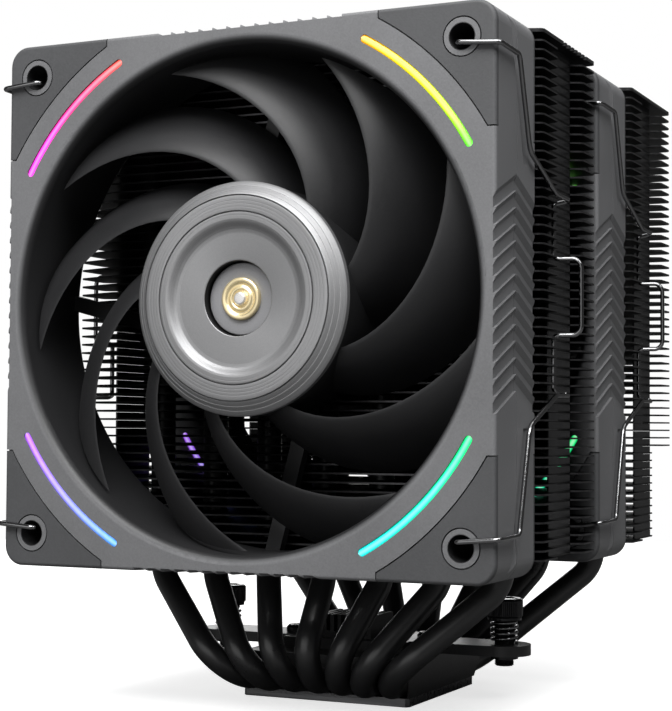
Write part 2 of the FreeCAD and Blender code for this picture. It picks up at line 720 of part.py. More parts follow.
def spring_screw(x):
    """Knurled head, plain shank, and a threaded barrel below the bar."""
    ring_z0 = BLOCK_TOP_Z - 1.0
    profile = [
        (1.5, SCREW_BOTTOM_Z), (SCREW_SHANK_R - 0.4, SCREW_BOTTOM_Z), (SCREW_SHANK_R, SCREW_BOTTOM_Z + 0.5),
        (SCREW_SHANK_R, ring_z0), (SCREW_SHANK_R - 0.45, ring_z0), (SCREW_SHANK_R - 0.45, ring_z0 + 0.6),
        (SCREW_SHANK_R, ring_z0 + 0.6), (SCREW_SHANK_R, SCREW_HEAD_Z), (SCREW_HEAD_R - 0.4, SCREW_HEAD_Z),
        (SCREW_HEAD_R, SCREW_HEAD_Z + 0.4), (SCREW_HEAD_R, SCREW_TOP_Z - 0.5),
        (SCREW_HEAD_R - 0.5, SCREW_TOP_Z), (0, SCREW_TOP_Z), (0, 13.6), (1.5, 13.6),
    ]
    screw = turned_z(profile, x, 0)
    slots = [box(x - 2.6, x + 2.6, -0.5, 0.5, 22.3, 25), box(x - 0.5, x + 0.5, -2.6, 2.6, 22.3, 25)]
    knurl = []
    for number in range(20):
        groove = cylinder_z(0.35, SCREW_HEAD_Z, SCREW_TOP_Z, x + SCREW_HEAD_R + 0.05, 0)
        groove.rotate(V(x, 0, 0), Z_AXIS, 18.0 * number)
        knurl.append(groove)
    return screw.cut(slots + knurl)


def screw_retaining_ring(x):
    z = BLOCK_TOP_Z - 1.0
    return ring_z(SCREW_SHANK_R + 1.0, SCREW_SHANK_R - 0.45, z, z + 0.6, x, 0)


def screw_washer(x):
    bottom = SCREW_HEAD_Z - WASHER_THICKNESS
    return ring_z(SCREW_HEAD_R - 0.4, SCREW_SHANK_R + 0.05, bottom, SCREW_HEAD_Z, x, 0)


def screw_spring(x):
    """Coil of short tangent arcs, which follow a helix closely."""
    corners_per_turn = 6
    half_step = math.pi / corners_per_turn
    count = int(SPRING_TURNS * corners_per_turn)
    bottom = BAR_TOP_Z + SPRING_WIRE_R
    height = SCREW_HEAD_Z - WASHER_THICKNESS - SPRING_WIRE_R - bottom
    corner_r = SPRING_R / math.cos(half_step)
    points = []
    for step in range(count + 1):
        angle = 2 * half_step * step
        z = bottom + height * step / count
        points.append(V(x + corner_r * math.cos(angle), corner_r * math.sin(angle), z))
    return rod(points, [0.96 * SPRING_R] * (count - 1), SPRING_WIRE_R)


# ---- assembly -----------------------------------------------------------------------

def fan_nodes(name, front_y):
    """Every piece of one fan, moved to its place."""
    clip = right_clip()
    pieces = {
        "frame": fan_frame(),
        "front_corner_pads": front_corner_pads(),
        "rear_corner_pads": rear_corner_pads(),
        "light_guides": light_guides(),
        "light_boards": light_boards(),
        "impeller": impeller(),
        "hub_disc": hub_disc(),
        "hub_button": hub_button(),
        "hub_medallion": hub_medallion(),
        "rotor_ring": rotor_ring(),
        "shaft": shaft(),
        "bearing": bearing(),
        "stator_core": stator_core(),
        "stator_coils": stator_coils(),
        "motor_board": motor_board(),
        "motor_cap": motor_cap(),
        "right_clip": clip,
        "left_clip": mirrored_x(clip),
    }
    place = V(0, front_y, FAN_CENTRE_Z)
    return {name + "_" + piece: shape.translated(place) for piece, shape in pieces.items()}


def heatsink_nodes():
    rear_y = FRONT_FAN_Y + FAN_PITCH_Y
    nodes = {
        "cold_plate": cold_plate(),
        "base_block": base_block(),
        "front_fins": fin_stack(FRONT_FAN_Y, 0),
        "rear_fins": fin_stack(rear_y, SHORT_FIN_COUNT),
        "front_top_fin": top_fin(FRONT_FAN_Y, TOOTH_COUNT),
        "rear_top_fin": top_fin(rear_y, 0),
        "mounting_bar": mounting_bar(),
        "bar_screws": bar_screws(),
    }
    for number in range(PIPE_COUNT):
        nodes["heat_pipe_" + str(number + 1)] = heat_pipe(number)
    for side, x in (("right", SCREW_X), ("left", -SCREW_X)):
        nodes[side + "_spring_screw"] = spring_screw(x)
        nodes[side + "_screw_washer"] = screw_washer(x)
        nodes[side + "_screw_spring"] = screw_spring(x)
        nodes[side + "_screw_retaining_ring"] = screw_retaining_ring(x)
    return nodes


def main():
    nodes = heatsink_nodes()
    nodes.update(fan_nodes("front_fan", FRONT_FAN_Y))
    nodes.update(fan_nodes("middle_fan", FRONT_FAN_Y + FAN_PITCH_Y))
    os.makedirs("parts", exist_ok=True)
    for name, shape in nodes.items():
        shape.exportStep("parts/" + name + ".step")
        size = shape.BoundBox
        extent = (size.XMin, size.XMax, size.YMin, size.YMax, size.ZMin, size.ZMax)
        print(name, len(shape.Solids), shape.isValid(), round(shape.Volume, 1), [round(v, 2) for v in extent])


main()
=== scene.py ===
import json
import math
import bmesh
import bpy
from mathutils import Matrix, Vector


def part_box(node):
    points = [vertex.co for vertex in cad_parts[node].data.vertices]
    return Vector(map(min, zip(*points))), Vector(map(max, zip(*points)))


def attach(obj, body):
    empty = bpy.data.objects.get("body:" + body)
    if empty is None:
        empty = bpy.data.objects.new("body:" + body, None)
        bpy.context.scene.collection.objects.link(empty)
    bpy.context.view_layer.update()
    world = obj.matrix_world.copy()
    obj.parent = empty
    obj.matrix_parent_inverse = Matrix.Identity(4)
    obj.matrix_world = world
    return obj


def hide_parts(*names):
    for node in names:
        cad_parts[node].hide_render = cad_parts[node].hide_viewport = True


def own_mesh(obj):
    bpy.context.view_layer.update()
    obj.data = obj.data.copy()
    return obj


# Dual-tower processor cooler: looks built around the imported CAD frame.
# Lengths below are millimetres until an object is made; Blender's objects are in metres.

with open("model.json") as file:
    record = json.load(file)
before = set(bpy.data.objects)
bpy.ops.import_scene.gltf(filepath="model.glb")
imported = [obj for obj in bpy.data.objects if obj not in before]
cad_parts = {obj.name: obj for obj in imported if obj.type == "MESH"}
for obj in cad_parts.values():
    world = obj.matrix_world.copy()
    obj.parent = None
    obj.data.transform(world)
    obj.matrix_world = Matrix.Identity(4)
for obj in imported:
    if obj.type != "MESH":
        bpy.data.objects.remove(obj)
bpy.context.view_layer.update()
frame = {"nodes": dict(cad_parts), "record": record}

MM = 0.001
FANS = ("front", "middle")
SIDES = ("left", "right")

# Driving sizes. Those that the CAD part also has are the same there, apart from the button:
# its radius is 7.3 in the CAD. The hub's front faces also sit a little further back here.
BORE_R = 56.0
GUIDE_R = 62.0
GUIDE_WIDTH = 1.8
GUIDE_HALF_ANGLE = 15.6
GUIDE_DEPTH = 2.2
CUP_R = 25.6
CUP_FRONT_Y = 3.6
CUP_REAR_Y = 20.6
CUP_INNER_R = 24.2
CUP_WALL = 1.6
CUP_EDGE = 0.6
BOSS_R = 4.0
BOSS_TIP_R = 3.4
BOSS_END_Y = 7.6
DISC_R = 25.8
BUTTON_R = 8.0
DISH_HOLE_R = 8.25
MEDALLION_R = 4.7
PIN_R = 1.4
SHAFT_R = 1.5
SHAFT_GAP = 0.02
LIP_Y = -0.45
BLADE_COUNT = 9
BLADE_ROOT_R = 25.0
BLADE_TIP_R = 55.1
BLADE_SWEEP = 56.0
BLADE_MIDDLE_Y = 12.3
BLADE_ROOT_STAGGER = 52.0
BLADE_UNTWIST = 25.0
BLADE_ROOT_CHORD = 19.0
BLADE_WIDENING = 13.0
BLADE_CAMBER = 0.09
BLADE_ROOT_HALF_THICKNESS = 0.85
BLADE_THINNING = 0.3
WIRE_R = 0.55
CLIP_HOOK_Z = 1.6
CLIP_FAN_END_Y = 12.0
PIPE_COUNT = 7
PIPE_R = 3.0
PIPE_PITCH = 15.0
PIPE_BASE_PITCH = 6.2
PIPE_Z = 5.0
PIPE_TIP_Z = 155.0
PIPE_DOME = 1.6
TOWER_PIPE_Y = 45.8
PIPE_STRAIGHTS = (1.5, 1.8, 2.4, 0.4)
FRONT_BEND_Y = -36.8
FRONT_BEND_Z = 29.3
REAR_LEAN = 8.0
REAR_STAGGER = 2.6
REAR_BEND_Z = 29.0
REAR_BASE_BEND_R = 12.0
TOWER_BEND_R = 9.0
FIN_PITCH = 2.04
FIN_THICKNESS = 0.4
TAB_X = 57.2
HOLE_OFFSET = 52.5
HOLE_R = 2.8
BLOCK_TOP_Z = 11.0
BAR_TOP_Z = 13.5
SCREW_BOTTOM_Z = 8.3
SCREW_HEAD_R = 4.5
SCREW_HEAD_Z = 19.9
SCREW_TOP_Z = 24.5
SCREW_SHANK_R = 2.35
SCREW_BORE_R = 1.5
SCREW_BORE_TOP_Z = 13.6
KNURL_COUNT = 60
KNURL_DEPTH = 0.16
THREAD_PITCH = 0.34
THREAD_DEPTH = 0.22
RING_GROOVE_DEPTH = 0.45
RING_GROOVE_WIDTH = 0.6
CROSS_HALF_LENGTH = 2.6
CROSS_HALF_WIDTH = 0.5
CROSS_HEIGHT = 4.4
WASHER_THICKNESS = 0.6
SPRING_R = 3.0
SPRING_WIRE_R = 0.4
SPRING_TURNS = 4.0

# mesh detail
ROUND_SIDES = 160
DISC_SIDES = 256
AXIS_RING_R = 1e-4
CORNER_SHARE = 0.4
DOME_SHARES = (0.35, 0.65, 0.87)

# the photo's viewpoint, found by fitting a camera to the front fan's corner holes and to four
# points that both fans show: degrees, metres and millimetres
CAMERA_ANGLES = (-25.16, 2.44, 0.313)
CAMERA_PLACE = (0.17836, -0.3955, 0.0651)
CAMERA_LENS = 87.06
SENSOR_WIDTH = 36.0

# studio, in metres
FLOOR_R = 0.6
STUDIO_CENTRE = (0.0, 0.0, 0.08)
SURROUND_STRENGTH = 0.07


# ---- places read from the frame -------------------------------------------------------

def middle_of(node):
    low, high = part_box(node)
    return (low + high) / 2


def fan_origin(fan):
    """Where the fan's axis meets its front plane, in metres."""
    low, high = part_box(fan + "_fan_frame")
    return Vector(((low.x + high.x) / 2, low.y, (low.z + high.z) / 2))


# ---- mesh helpers ---------------------------------------------------------------------

def finished_object(name, mesh_builder, sharp_angle=32.0):
    """Turns a bmesh in millimetres into a smooth-shaded object in metres."""
    bmesh.ops.recalc_face_normals(mesh_builder, faces=mesh_builder.faces)
    bmesh.ops.scale(mesh_builder, vec=(MM, MM, MM), verts=mesh_builder.verts)
    mesh = bpy.data.meshes.new(name)
    mesh_builder.to_mesh(mesh)
    mesh_builder.free()
    mesh.shade_smooth()
    mesh.set_sharp_from_angle(angle=math.radians(sharp_angle))
    obj = bpy.data.objects.new(name, mesh)
    bpy.context.scene.collection.objects.link(obj)
    return obj


def bridge(builder, first, second):
    """Quads between two closed rings with the same number of vertices."""
    count = len(first)
    for index in range(count):
        following = (index + 1) % count
        builder.faces.new((first[index], first[following], second[following], second[index]))


def eased(points, size):
    """Rounds the corners of an outline a little, so that its edges catch light."""
    result = [Vector(points[0])]
    for before, corner, after in zip(points, points[1:], points[2:]):
        corner = Vector(corner)
        to_before = Vector(before) - corner
        to_after = Vector(after) - corner
        start = corner + to_before.normalized() * min(size, CORNER_SHARE * to_before.length)
        end = corner + to_after.normalized() * min(size, CORNER_SHARE * to_after.length)
        result += [start, start * 0.25 + corner * 0.5 + end * 0.25, end]
    result.append(Vector(points[-1]))
    return result


def lathe(builder, profile, axis="Y", centre=(0.0, 0.0), sides=ROUND_SIDES, closed=False):
    """Turned shape from (radius, height) points. The centre is in the plane across the axis."""
    rings = []
    for radius, height in profile:
        ring = []
        radius = max(radius, AXIS_RING_R)
        for step in range(sides):
            angle = 2 * math.pi * step / sides
            across = centre[0] + radius * math.cos(angle)
            other = centre[1] + radius * math.sin(angle)
            place = (across, height, other) if axis == "Y" else (across, other, height)
            ring.append(builder.verts.new(place))
        rings.append(ring)
    for first, second in zip(rings, rings[1:]):
        bridge(builder, first, second)
    if closed:
        bridge(builder, rings[-1], rings[0])
    else:
        builder.faces.new(rings[0])
        builder.faces.new(rings[-1])
    return rings


def rounded_path(points, bends, step_angle=9.0):
    """Points along straight runs that are joined by tangent arcs."""
    path = [Vector(points[0])]
    for before, corner, after, bend in zip(points, points[1:], points[2:], bends):
        corner = Vector(corner)
        to_before = (Vector(before) - corner).normalized()
        to_after = (Vector(after) - corner).normalized()
        turn = math.pi - to_before.angle(to_after)
        if turn < 1e-3:
            continue
        half_angle = (math.pi - turn) / 2
        to_centre = (to_before + to_after).normalized()
        centre = corner + to_centre * (bend / math.sin(half_angle))
        start = corner + to_before * (bend / math.tan(half_angle)) - centre
        end = corner + to_after * (bend / math.tan(half_angle)) - centre
        steps = max(2, math.ceil(math.degrees(turn) / step_angle))
        for step in range(steps + 1):
            share = step / steps
            near = math.sin((1 - share) * turn) / math.sin(turn)
            far = math.sin(share * turn) / math.sin(turn)
            path.append(centre + start * near + end * far)
    path.append(Vector(points[-1]))
    return path


def tube(builder, path, radius, sides=28, end_dome=0.0):
    """Round tube along a path; its rings turn as little as they can."""
    tangents = []
    for index in range(len(path)):
        before = path[max(index - 1, 0)]
        after = path[min(index + 1, len(path) - 1)]
        tangents.append((after - before).normalized())
    side = tangents[0].orthogonal().normalized()
    rings = []
    for place, tangent in zip(path, tangents):
        side = (side - tangent * side.dot(tangent)).normalized()
        up = tangent.cross(side)
        rings.append(tube_ring(builder, place, side, up, radius, sides))
    for first, second in zip(rings, rings[1:]):
        bridge(builder, first, second)
    for ring, place, outward in ((rings[0], path[0], -tangents[0]), (rings[-1], path[-1], tangents[-1])):
        last = ring
        for share in DOME_SHARES if end_dome > 0 else ():
            shrink = math.sqrt(1 - share * share)
            moved = []
            for vertex in ring:
                offset = (vertex.co - place) * shrink
                moved.append(builder.verts.new(place + offset + outward * end_dome * share))
            bridge(builder, last, moved)
            last = moved
        builder.faces.new(last)


def tube_ring(builder, place, side, up, radius, sides):
    ring = []
    for step in range(sides):
        angle = 2 * math.pi * step / sides
        across = side * (radius * math.cos(angle))
        ring.append(builder.verts.new(place + across + up * (radius * math.sin(angle))))
    return ring


# ---- material helpers -----------------------------------------------------------------

class Finish:
    """Procedural material with a few shared building blocks."""

    def __init__(self, name):
        self.material = bpy.data.materials.new(name)
        self.material.use_nodes = True
        self.tree = self.material.node_tree
        self.shader = self.tree.nodes["Principled BSDF"]
        self.place = self.tree.nodes.new("ShaderNodeTexCoord").outputs["Object"]

    def node(self, kind, **settings):
        made = self.tree.nodes.new(kind)
        for key, value in settings.items():
            setattr(made, key, value)
        return made

    def link(self, source, target):
        self.tree.links.new(source, target)

    def math(self, operation, first, second=None):
        made = self.node("ShaderNodeMath", operation=operation)
        for index, value in enumerate((first, second)):
            if value is None:
                continue
            if isinstance(value, (int, float)):
                made.inputs[index].default_value = value
            else:
                self.link(value, made.inputs[index])
        return made.outputs[0]

    def noise(self, scale, detail=2.0, stretch=(1, 1, 1)):
        """Noise whose grains are about 1 / scale metres across."""
        mapping = self.node("ShaderNodeMapping")
        mapping.inputs["Scale"].default_value = stretch
        self.link(self.place, mapping.inputs["Vector"])
        made = self.node("ShaderNodeTexNoise")
        made.inputs["Scale"].default_value = scale
        made.inputs["Detail"].default_value = detail
        self.link(mapping.outputs[0], made.inputs["Vector"])
        return made.outputs["Fac"]

    def between(self, factor, low, high, from_low=0.3, from_high=0.7):
        made = self.node("ShaderNodeMapRange")
        made.inputs["From Min"].default_value = from_low
        made.inputs["From Max"].default_value = from_high
        made.inputs["To Min"].default_value = low
        made.inputs["To Max"].default_value = high
        self.link(factor, made.inputs["Value"])
        return made.outputs["Result"]

    def ramp(self, factor, stops, interpolation="LINEAR"):
        made = self.node("ShaderNodeValToRGB")
        made.color_ramp.interpolation = interpolation
        elements = made.color_ramp.elements
        while len(elements) < len(stops):
            elements.new(0.5)
        for element, (position, colour) in zip(elements, stops):
            element.position = position
            element.color = (*colour, 1.0)
        self.link(factor, made.inputs["Fac"])
        return made.outputs["Color"]

    def mix(self, factor, first, second, blend="MIX"):
        made = self.node("ShaderNodeMix", data_type="RGBA", blend_type=blend)
        for socket, value in ((made.inputs[0], factor), (made.inputs[6], first), (made.inputs[7], second)):
            if isinstance(value, (int, float)):
                socket.default_value = value
            elif isinstance(value, tuple):
                socket.default_value = (*value, 1.0)
            else:
                self.link(value, socket)
        return made.outputs[2]

    def bump(self, height, distance, strength=1.0):
        made = self.node("ShaderNodeBump")
        made.inputs["Strength"].default_value = strength
        made.inputs["Distance"].default_value = distance
        self.link(height, made.inputs["Height"])
        self.link(made.outputs["Normal"], self.shader.inputs["Normal"])
        return made

    def set(self, **values):
        for key, value in values.items():
            socket = self.shader.inputs[key.replace("_", " ").title().replace("Ior", "IOR")]
            if isinstance(value, tuple) and len(value) == 3:
                socket.default_value = (*value, 1.0)
            elif isinstance(value, (int, float, tuple)):
                socket.default_value = value
            else:
                self.link(value, socket)
        return self

    def xyz(self):
        parts = self.node("ShaderNodeSeparateXYZ")
        self.link(self.place, parts.inputs[0])
        return parts.outputs["X"], parts.outputs["Y"], parts.outputs["Z"]

    def distance(self, first, second):
        """Length of the vector with these two components."""
        first_square = self.math("MULTIPLY", first, first)
        second_square = self.math("MULTIPLY", second, second)
        return self.math("SQRT", self.math("ADD", first_square, second_square))

    def radius(self, height=0.0):
        """Distance from a line along Y at this height above the object's origin."""
        x, _, z = self.xyz()
        return self.distance(x, self.math("SUBTRACT", z, height))

    def angle(self):
        """Turn about the object's Y axis as a share from 0 to 1, seen from the front."""
        x, _, z = self.xyz()
        turn = self.math("ARCTAN2", z, x)
        return self.math("FRACT", self.math("ADD", self.math("DIVIDE", turn, 2 * math.pi), 1.0))


def mottled(name, colour, contrast, grain, roughness, bump, metallic=0.0, blotch=45.0):
    """Even surface with a fine grain and broad, faint blotches in colour and gloss."""
    finish = Finish(name)
    fine = finish.noise(grain, detail=3.0)
    broad = finish.noise(blotch, detail=2.0)
    dark = tuple(channel * (1 - contrast) for channel in colour)
    light = tuple(min(1.0, channel * (1 + contrast)) for channel in colour)
    speckled = finish.mix(finish.between(fine, 0.0, 1.0), dark, light)
    shaded = finish.mix(0.5, speckled, finish.mix(finish.between(broad, 0.0, 1.0), dark, light))
    gloss = finish.math("ADD", finish.between(broad, roughness - 0.04, roughness + 0.04),
                        finish.between(fine, -0.03, 0.03))
    finish.set(base_color=shaded, roughness=gloss, metallic=metallic)
    finish.bump(fine, bump * MM, 1.0)
    finish.tone = shaded
    return finish


# ---- materials ------------------------------------------------------------------------

def frame_plastic():
    """Metallic grey plastic outside, with painted shade: the bore, the struts and the corner holes are
    painted near black, as they lie in shade.
    """
    finish = mottled("fan_frame_plastic", (0.150, 0.151, 0.156), 0.17, 2600.0, 0.48, 0.02)
    axis_z = fan_origin("front").z
    # Painted shade: from just outside the bore inward, wall and struts alike, the plastic is painted near
    # black.
    bore = finish.between(finish.radius(axis_z), 1.0, 0.0, (BORE_R + 0.5) * MM, (BORE_R + 1.6) * MM)
    # Painted shade: the corner holes and a thin ring round them are painted near black.
    x, _, z = finish.xyz()
    across = finish.math("SUBTRACT", finish.math("ABSOLUTE", x), HOLE_OFFSET * MM)
    height = finish.math("ABSOLUTE", finish.math("SUBTRACT", z, axis_z))
    upward = finish.math("SUBTRACT", height, HOLE_OFFSET * MM)
    hole = finish.math("LESS_THAN", finish.distance(across, upward), (HOLE_R + 0.15) * MM)
    inside = finish.math("MAXIMUM", bore, hole)
    finish.set(base_color=finish.mix(inside, finish.tone, (0.016, 0.016, 0.017)))
    return finish.material


def pad_rubber():
    return mottled("pad_rubber", (0.066, 0.067, 0.070), 0.16, 2200.0, 0.62, 0.025).material


def blade_plastic():
    finish = mottled("blade_plastic", (0.016, 0.016, 0.017), 0.2, 1500.0, 0.5, 0.008)
    return finish.set(specular_ior_level=0.4).material


def fin_coating():
    """Satin black coating. Thin edges and folded tabs get a paler colour, a painted sheen that stands for
    their highlights; a painted shade line parts the tabs.
    """
    finish = mottled("fin_coating", (0.0035, 0.0035, 0.004), 0.25, 1300.0, 0.28, 0.008)
    normal = finish.node("ShaderNodeSeparateXYZ")
    finish.link(finish.node("ShaderNodeTexCoord").outputs["Normal"], normal.inputs[0])
    upright = finish.math("ABSOLUTE", normal.outputs["Z"])
    edge = finish.between(upright, 1.0, 0.0, 0.2, 0.8)
    # Painted sheen: upright faces, that is thin edges and folded tabs, get a paler base colour that stands
    # for their highlights.
    patches = finish.between(finish.noise(700.0), 0.0, 1.0)
    edge_sheen_and_gap_shade = finish.mix(patches, (0.05, 0.05, 0.052), (0.085, 0.085, 0.088))
    # Painted shade: a dark line where one folded tab meets the next, standing for the shade in the gap.
    x, _, z = finish.xyz()
    above = finish.math("SUBTRACT", z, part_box("front_fins")[0].z)
    level = finish.math("FRACT", finish.math("DIVIDE", above, FIN_PITCH * MM))
    seam_share = 1.2 * FIN_THICKNESS / FIN_PITCH
    between_tabs = finish.math("LESS_THAN", level, seam_share)
    on_tab = finish.math("LESS_THAN", finish.math("ABSOLUTE", x), (TAB_X + 0.2) * MM)
    sideways = finish.math("GREATER_THAN", finish.math("ABSOLUTE", normal.outputs["X"]), 0.9)
    tab_gap_shade = finish.math("MULTIPLY", finish.math("MULTIPLY", between_tabs, on_tab), sideways)
    edge_sheen_and_gap_shade = finish.mix(tab_gap_shade, edge_sheen_and_gap_shade, (0.004, 0.004, 0.004))
    finish.set(base_color=finish.mix(edge, finish.tone, edge_sheen_and_gap_shade), specular_ior_level=0.15)
    finish.set(metallic=finish.math("MULTIPLY", edge, 0.8))
    finish.set(roughness=finish.between(edge, 0.55, 0.26, 0.0, 1.0))
    return finish.material


def pipe_coating():
    finish = mottled("pipe_coating", (0.022, 0.022, 0.023), 0.2, 900.0, 0.32, 0.006)
    return finish.set(specular_ior_level=0.75).material


def bar_coating():
    return mottled("bar_coating", (0.020, 0.020, 0.021), 0.2, 1600.0, 0.36, 0.012).material


def screw_coating():
    return mottled("screw_coating", (0.03, 0.03, 0.032), 0.2, 1600.0, 0.24, 0.006, metallic=0.7).material


def spring_steel():
    finish = mottled("spring_steel", (0.27, 0.27, 0.275), 0.12, 1800.0, 0.14, 0.004, metallic=1.0)
    return finish.material


def plate_metal():
    """Plated metal with faint lengthwise milling marks."""
    finish = Finish("plate_metal")
    marks = finish.noise(900.0, detail=2.0, stretch=(0.04, 1.0, 1.0))
    tone = finish.mix(finish.between(marks, 0.0, 1.0), (0.24, 0.24, 0.245), (0.34, 0.34, 0.35))
    finish.set(base_color=tone, roughness=finish.between(marks, 0.22, 0.36), metallic=1.0)
    finish.bump(marks, 0.006 * MM)
    return finish.material


def turned_metal():
    """Lathe-turned disc: fine concentric lines and a highlight that fans out from the centre. The wall of
    the hole in its middle carries painted shade.
    """
    finish = Finish("turned_metal")
    lines = finish.node("ShaderNodeTexNoise", noise_dimensions="1D")
    lines.inputs["Scale"].default_value = 9000.0
    lines.inputs["Detail"].default_value = 3.0
    finish.link(finish.radius(), lines.inputs["W"])
    grain = finish.noise(2600.0, detail=2.0)
    ring_tone = finish.between(lines.outputs["Fac"], 0.0, 1.0)
    ringed = finish.mix(ring_tone, (0.235, 0.235, 0.24), (0.295, 0.295, 0.30))
    toned = finish.mix(finish.between(grain, 0.0, 0.25), ringed, (0.33, 0.33, 0.335))
    # Painted shade: inside the hole's radius the disc is painted near black, standing for the shadow on the
    # hole's wall.
    hole_wall_shade = finish.math("LESS_THAN", finish.radius(), (DISH_HOLE_R + 0.06) * MM)
    toned = finish.mix(hole_wall_shade, toned, (0.012, 0.012, 0.012))
    tangent = finish.node("ShaderNodeTangent", direction_type="RADIAL", axis="Y")
    finish.set(base_color=toned, roughness=finish.between(lines.outputs["Fac"], 0.38, 0.48), metallic=0.5)
    finish.set(anisotropic=0.5)
    finish.link(tangent.outputs[0], finish.shader.inputs["Tangent"])
    finish.bump(lines.outputs["Fac"], 0.004 * MM)
    return finish.material


def button_metal():
    finish = mottled("button_metal", (0.27, 0.27, 0.28), 0.1, 2600.0, 0.5, 0.006, metallic=0.3)
    return finish.material


def medallion_metal():
    """Polished gold with a steel pin in its centre; the pin's near-white colour is partly a painted
    highlight.
    """
    finish = Finish("medallion_metal")
    radius = finish.radius()
    lines = finish.node("ShaderNodeTexNoise", noise_dimensions="1D")
    lines.inputs["Scale"].default_value = 7000.0
    finish.link(radius, lines.inputs["W"])
    gold = finish.mix(lines.outputs["Fac"], (1.0, 0.78, 0.40), (1.0, 0.90, 0.62))
    # The pin is a steel part; its near-white colour is partly a painted highlight.
    is_pin = finish.math("LESS_THAN", radius, PIN_R * MM)
    tone = finish.mix(is_pin, gold, (0.86, 0.84, 0.82))
    finish.set(base_color=tone, roughness=finish.between(lines.outputs["Fac"], 0.26, 0.36), metallic=0.75)
    finish.bump(lines.outputs["Fac"], 0.003 * MM)
    return finish.material


def light_guide():
    """Milky light guide: its hue turns with the angle round the fan and its core is near white."""
    finish = Finish("light_guide")
    hues = [
        (0.00, (0.0, 1.0, 0.10)), (0.08, (0.10, 1.0, 0.02)), (0.125, (0.85, 0.85, 0.0)),
        (0.17, (1.0, 0.42, 0.0)), (0.32, (1.0, 0.10, 0.01)), (0.375, (1.0, 0.02, 0.25)),
        (0.42, (1.0, 0.02, 0.80)), (0.57, (0.45, 0.05, 1.0)), (0.67, (0.06, 0.35, 1.0)),
        (0.83, (0.0, 0.85, 0.80)), (0.92, (0.0, 1.0, 0.22)),
    ]
    hue = finish.ramp(finish.angle(), hues)
    from_core = finish.math("ABSOLUTE", finish.math("SUBTRACT", finish.radius(), GUIDE_R * MM))
    core = finish.between(from_core, 0.42, 0.0, 0.0, 0.35 * GUIDE_WIDTH * MM)
    rim = finish.between(from_core, 1.0, 0.22, 0.3 * GUIDE_WIDTH * MM, 0.48 * GUIDE_WIDTH * MM)
    cloud = finish.math("MULTIPLY", rim, finish.between(finish.noise(500.0), 0.9, 1.1))
    glow = finish.mix(core, hue, (1.0, 1.0, 1.0))
    finish.set(base_color=hue, roughness=0.3, emission_color=glow)
    finish.set(emission_strength=finish.math("MULTIPLY", cloud, 0.85))
    return finish.material


def plain_finishes():
    """Materials for the inner pieces, by slot."""
    steel = mottled("rotor_steel", (0.36, 0.36, 0.37), 0.15, 900.0, 0.32, 0.006, metallic=1.0).material
    brass = mottled("bearing_brass", (0.72, 0.52, 0.26), 0.12, 1400.0, 0.3, 0.008, metallic=1.0).material
    board = mottled("board_green", (0.012, 0.10, 0.045), 0.2, 700.0, 0.4, 0.012).material
    cap = mottled("cap_black", (0.025, 0.025, 0.026), 0.2, 1500.0, 0.5, 0.01).material
    copper = Finish("coil_copper")
    turns = copper.noise(1100.0, detail=2.0, stretch=(1.0, 6.0, 1.0))
    copper.set(base_color=copper.mix(turns, (0.45, 0.13, 0.04), (0.85, 0.34, 0.13)), metallic=1.0)
    copper.set(roughness=copper.between(turns, 0.25, 0.4))
    copper.bump(turns, 0.05 * MM)
    return {"rotor_steel": steel, "bearing_brass": brass, "board_green": board, "cap_black": cap,
            "coil_copper": copper.material}


# ---- fan rotor ------------------------------------------------------------------------

def ringed(start, end, radii, ridge):
    """Straight stretch of an outline with a fine raised line at each of these radii."""
    (first_r, first_y), (last_r, last_y) = start, end
    points = [start]
    for radius in radii:
        height = first_y + (last_y - first_y) * (radius - first_r) / (last_r - first_r)
        points += [(radius - 0.08, height), (radius, height + ridge), (radius + 0.08, height)]
    return points + [end]


def hub_disc():
    """Turned disc: a dish with a rolled lip, two deep grooves, faint rings and a sloping rim."""
    outline = [(DISH_HOLE_R, CUP_FRONT_Y), (DISH_HOLE_R, 1.3), (DISH_HOLE_R + 0.2, 1.1), (14.4, 1.0)]
    outline += [(15.2, 0.85), (15.8, 0.5), (16.3, 0.05), (16.8, -0.3), (17.3, LIP_Y)]
    outline += ringed((17.35, LIP_Y), (18.75, LIP_Y), (18.1,), 0.03)
    outline += [(18.78, 0.5), (19.02, 0.5)]
    outline += ringed((19.05, LIP_Y), (22.35, -0.3), (19.9, 20.6, 21.3), 0.03)
    outline += [(22.38, 0.7), (22.62, 0.7)]
    outline += ringed((22.65, -0.25), (DISC_R - 0.3, 1.98), (23.6, 24.6), 0.04)
    outline += [(DISC_R, 2.3), (DISC_R, CUP_FRONT_Y)]
    builder = bmesh.new()
    lathe(builder, eased(outline, 0.1), sides=DISC_SIDES)
    return builder


def hub_button():
    """Flat washer deep in the dish's hole."""
    front = 3.1
    outline = [
        (MEDALLION_R, CUP_FRONT_Y), (MEDALLION_R, front), (BUTTON_R - 0.2, front),
        (BUTTON_R, front + 0.2), (BUTTON_R, CUP_FRONT_Y),
    ]
    builder = bmesh.new()
    lathe(builder, eased(outline, 0.1))
    return builder


def hub_medallion():
    """Stepped gold button with a pin in its middle."""
    outline = [
        (0, 1.75), (1.15, 1.75), (PIN_R, 1.95), (PIN_R, 2.7), (1.75, 2.7), (2.0, 2.3),
        (2.35, 2.2), (2.7, 2.3), (2.95, 2.6), (3.3, 2.6), (3.6, 2.3), (4.1, 2.15), (4.45, 2.2),
        (MEDALLION_R - 0.01, 2.4), (MEDALLION_R - 0.01, CUP_FRONT_Y),
    ]
    builder = bmesh.new()
    lathe(builder, eased(outline, 0.14))
    return builder


